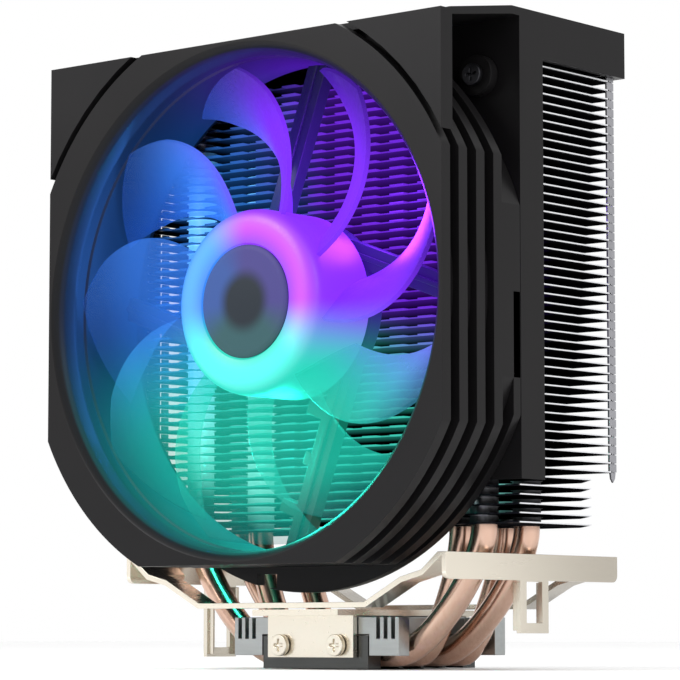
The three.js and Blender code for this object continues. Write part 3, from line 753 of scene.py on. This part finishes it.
def fins():
    """Two stacks of fins. A fin in the shroud has its side edges folded up to the next, in two strips."""
    heights = [first_low.z + i * PITCH for i in range(FIN_COUNT)]
    low = [z for z in heights if z < LOW_FIN_TOP]
    high = [z for z in heights if z >= LOW_FIN_TOP]
    for name, levels, cut, stood_for in (
        ("fins_below_shroud", low, CUT_CORNER, ["fin_01", "fin_02"]),
        ("fins_in_shroud", high, REAR_CORNER, [f"fin_{i:02d}" for i in range(3, 19)]),
    ):
        sheet = slab(fin_outline(cut), 0, FIN_THICKNESS, "Z")
        stack = together(*[copied(sheet, (0, 0, z)) for z in levels])
        piece(name, stack, FIN_METAL, replaces=stood_for)
    tabs = []
    rear_start, rear_width = STRIPS[1]
    rear_middle = rear_start + rear_width / 2
    for side in (-1, 1):
        x0, x1 = sorted((side * (first_high.x - TAB_INNER), side * (first_high.x - TAB_OUTER)))
        for z in high[:-1]:
            for start, width in STRIPS:
                tabs.append(block((x0, start, z + TAB_FOOT), (x1, start + width, z + PITCH - TAB_GAP)))
            for shift in (-NIB_SHIFT, NIB_SHIFT):
                y = rear_middle + shift
                nib = block((x0, y - NIB_HALF, z - NIB_DROP), (x1, y + NIB_HALF, z + NIB_RISE))
                bmesh.ops.translate(nib, verts=nib.verts[:], vec=(side * NIB_PROUD, 0, 0))
                tabs.append(nib)
        tip = slab([(across, high[0] - down) for across, down in TIP], 0, x1 - x0)
        bmesh.ops.rotate(tip, verts=tip.verts[:], cent=(0, 0, 0), matrix=Matrix.Rotation(math.pi / 2, 3, "Z"))
        bmesh.ops.translate(tip, verts=tip.verts[:], vec=(x1, rear_middle, 0))
        tabs.append(tip)
    piece("fin_tabs", together(*tabs), TAB_METAL)


# ---- pipes and their collars -----------------------------------------------------------------------
def nearest_half(value):
    """To the half millimetre. A packed pipe is eight-sided, and its box a little short of a round one's."""
    return round(value * 2) / 2


def pipe_route(x, low, top):
    """The middle line, across and up: down from one top, round both bends and up to the other."""
    rise = PIPE_BEND_TOP - (PIPE_BEND_TOP - low) * PIPE_EASE
    ease = PIPE_STRAIGHT + (x - PIPE_STRAIGHT) * PIPE_EASE
    half = [(0, low), (PIPE_STRAIGHT, low)]
    for i in range(1, PIPE_BEND_STEPS + 1):
        t = i / PIPE_BEND_STEPS
        spans = ((1 - t) ** 3, 3 * t * (1 - t) ** 2, 3 * t * t * (1 - t), t ** 3)
        half.append((
            spans[0] * PIPE_STRAIGHT + spans[1] * ease + spans[2] * x + spans[3] * x,
            spans[0] * low + spans[1] * low + spans[2] * rise + spans[3] * PIPE_BEND_TOP,
        ))
    half += [(x, PIPE_BEND_TOP + 4), (x, top - 4)] + [(x, top - drop) for drop, _ in reversed(PIPE_TIP)]
    return [(-a, b) for a, b in reversed(half[1:])] + half


def pipes():
    uprights = []
    for index in range(1, 5):
        low, high = corners(f"heat_pipe_{index}")
        x, y = nearest_half(high.x - PIPE_RADIUS), (low.y + high.y) / 2
        route = pipe_route(x, nearest_half(low.z + PIPE_RADIUS), high.z)
        shape = bmesh.new()
        rings = []
        for k, (px, pz) in enumerate(route):
            before, after = route[max(k - 1, 0)], route[min(k + 1, len(route) - 1)]
            lean = math.atan2(after[0] - before[0], after[1] - before[1])
            near_end = min(k, len(route) - 1 - k)
            share = PIPE_TIP[near_end][1] if near_end < len(PIPE_TIP) else 1
            place = Matrix.Translation((px, y, pz)) @ Matrix.Rotation(lean, 4, "Y")
            rings.append(circle(shape, place, PIPE_RADIUS * share, 28))
        skin = bridged(shape, rings)
        piece(f"copper_pipe_{index}", skin, COPPER, replaces=[f"heat_pipe_{index}"])
        uprights += [(-x, y), (x, y)]
    collars(uprights)


def collars(uprights):
    """A flared collar on every fin, up each pipe."""
    column = bmesh.new()
    rings = []
    for i in range(FIN_COUNT):
        for rise, radius in COLLAR:
            place = Matrix.Translation((0, 0, first_low.z + i * PITCH + rise))
            rings.append(circle(column, place, radius, 20))
    bridged(column, rings)
    stack = together(*[copied(column, (x, y, 0)) for x, y in uprights])
    piece("fin_collars", stack, COLLAR_METAL)


# ---- the shroud, base, saddle and clip -------------------------------------------------------------
def packed_shapes():
    """The pieces that need only bevels and better finishes."""
    for name, node, material, slot, bevel, segments in (
        ("fan_shroud", "shroud", BLACK, "black_plastic", 0.35, 3),
        ("contact_base", "base_plate", SHADED_CONTACT_METAL, "aluminium", 0.15, 2),
        ("contact_cap", "base_cap", BASE_METAL, "aluminium", 0.15, 2),
        ("mounting_saddle", "clip_saddle", CLIP_STEEL, "bright_steel", 0.3, 2),
    ):
        piece(name, from_cad(node), material, replaces=[node], bevel=bevel, segments=segments)


def rounded_clip():
    """The clip, with the ends of its two upright plates rounded off."""
    shape = from_cad("spring_clip")
    trimmed(shape, (0, 0, clip_high.z - CLIP_THICKNESS / 2), (0, 0, 1))
    plates = []
    for edge in shape.edges:
        a, b = (v.co for v in edge.verts)
        runs_across = abs(a.y - b.y) < 0.01 and abs(a.z - b.z) < 0.01
        through_plate = abs(abs(a.x - b.x) - CLIP_THICKNESS) < 0.4 and min(abs(a.x), abs(b.x)) > CLIP_PLATE_X
        at_end = min(abs(a.y - clip_low.y), abs(a.y - clip_high.y)) < 0.05
        if runs_across and through_plate and at_end:
            plates.append(edge)
    if plates:
        bmesh.ops.bevel(
            shape, geom=plates, offset=CLIP_ROUNDING, segments=6, profile=0.5, affect="EDGES", material=-1
        )
    piece("sprung_clip", shape, CLIP_STEEL, "clip", ["spring_clip"], bevel=0.16)


def hook_frames():
    """The folded inner edges of the two hooks' windows."""
    folds = []
    for side, low in ((-1, clip_low.z), (1, clip_low.z + RIGHT_HOOK_RISE)):
        x0, x1 = sorted((side * FOLD_INNER, side * FOLD_OUTER))
        for y in FOLD_FRONTS:
            folds.append(block((x0, y, low + FOLD_FOOT), (x1, y + FOLD_WIDTH, FOLD_TOP)))
    piece("hook_folds", together(*folds), CLIP_STEEL, "clip", bevel=0.12)


def cross_screw(name, centre, side, radius, material, replaces):
    """A head with a cross-shaped recess. It looks along Y, towards the sign."""
    x, seat, z = centre
    shape = disc_along_y((x, seat + side * HEAD_HEIGHT / 2, z), radius, HEAD_HEIGHT, 36)
    ends = sorted((seat + side * HEAD_HEIGHT * RECESS_FLOOR, seat + side * (HEAD_HEIGHT + 0.5)))
    arm, thin = radius * RECESS_ARM, radius * RECESS_HALF
    outline = []
    quarter = [(thin, arm), (thin, thin), (arm, thin)]
    for _ in range(4):
        outline += [(x + across, z + up) for across, up in quarter]
        quarter = [(up, -across) for across, up in quarter]
    cross = slab(outline, *ends)
    piece(name, shape, material, replaces=replaces, cutter=cross, bevel=0.2, segments=3)


def screws():
    for kind, count, material, slot in (
        ("saddle_screw", 4, CLIP_STEEL, "bright_steel"), ("fan_screw", 2, DARK_METAL, "dark_steel"),
    ):
        for i in range(1, count + 1):
            low, high = corners(f"{kind}_{i}")
            side = -1 if low.y < 0 else 1
            seat = low.y + HEAD_HEIGHT if side < 0 else high.y - HEAD_HEIGHT
            centre = ((low.x + high.x) / 2, seat, (low.z + high.z) / 2)
            radius = (high.x - low.x) / 2
            cross_screw(f"{kind}_head_{i}", centre, side, radius, material, [f"{kind}_{i}"])


def carry_over():
    """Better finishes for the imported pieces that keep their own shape."""
    finishes = {
        "motor_yoke": DARK_METAL, "magnet_ring": FERRITE, "fan_shaft": SHAFT_METAL,
        "bearing_tube": BEARING_METAL, "stator_core": DARK_METAL, "motor_board": BOARD,
    }
    finishes.update({f"stator_coil_{i}": WINDING for i in range(1, 5)})
    for node, material in finishes.items():
        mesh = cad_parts[node].data
        mesh.materials.clear()
        mesh.materials.append(material)


# ---- the stage, in metres --------------------------------------------------------------------------
def soft_light(name, place, size, watts):
    lamp = bpy.data.lights.new(name, "AREA")
    lamp.size = size
    lamp.energy = watts
    made = in_scene(name, lamp, place)
    aim = Vector((0, 0, 0.075)) - Vector(place)
    made.rotation_euler = aim.to_track_quat("-Z", "Y").to_euler()


def small_lamp(name, place, watts, colour):
    lamp = bpy.data.lights.new(name, "POINT")
    lamp.shadow_soft_size = 0.008
    lamp.energy = watts
    lamp.color = colour[:3]
    in_scene(name, lamp, place)


def stage():
    camera = bpy.data.cameras.new("camera")
    camera.lens = 165.81
    camera.sensor_width = 36
    camera.clip_start = 0.01
    seen = in_scene("camera", camera, (0.47518, -0.57296, 0.00679))
    seen.rotation_euler = (math.radians(95.4555), 0, math.radians(40.2146))
    bpy.context.scene.camera = seen
    bpy.context.scene.view_settings.view_transform = "Standard"

    ground = bmesh.new()
    bmesh.ops.create_grid(ground, x_segments=1, y_segments=1, size=6)
    floor = in_scene("floor", mesh_from("floor", ground), (0, 0, -0.0002))
    pale = Finish("pale_floor", Roughness=0.6, Specular_IOR_Level=0.1, Base_Color=(0.96, 0.96, 0.96, 1))
    floor.data.materials.append(pale.material)

    world = bpy.data.worlds.new("studio")
    bpy.context.scene.world = world
    world.use_nodes = True
    background = world.node_tree.nodes["Background"]
    background.inputs["Color"].default_value = (1, 1, 1, 1)
    background.inputs["Strength"].default_value = 1.0
    soft_light("key", (-0.35, -0.7, 0.6), 0.5, 7)
    soft_light("side", (0.75, -0.1, 0.45), 0.4, 2.5)
    back = (BACK - 2.5) * MM
    axis = AXIS * MM
    small_lamp("violet_lamp", (0.022, back, axis + 0.022), 0.12, VIOLET)
    small_lamp("blue_lamp", (-0.030, back, axis + 0.004), 0.14, BLUE)
    small_lamp("teal_lamp", (-0.010, back, axis - 0.032), 0.22, TEAL)


stage()
fan_frame()
fan_skirt()
motor_mount()
lug_piece("left_lug", -1)
lug_piece("right_lug", 1)
wheel()
fins()
pipes()
packed_shapes()
rounded_clip()
hook_frames()
screws()
carry_over()
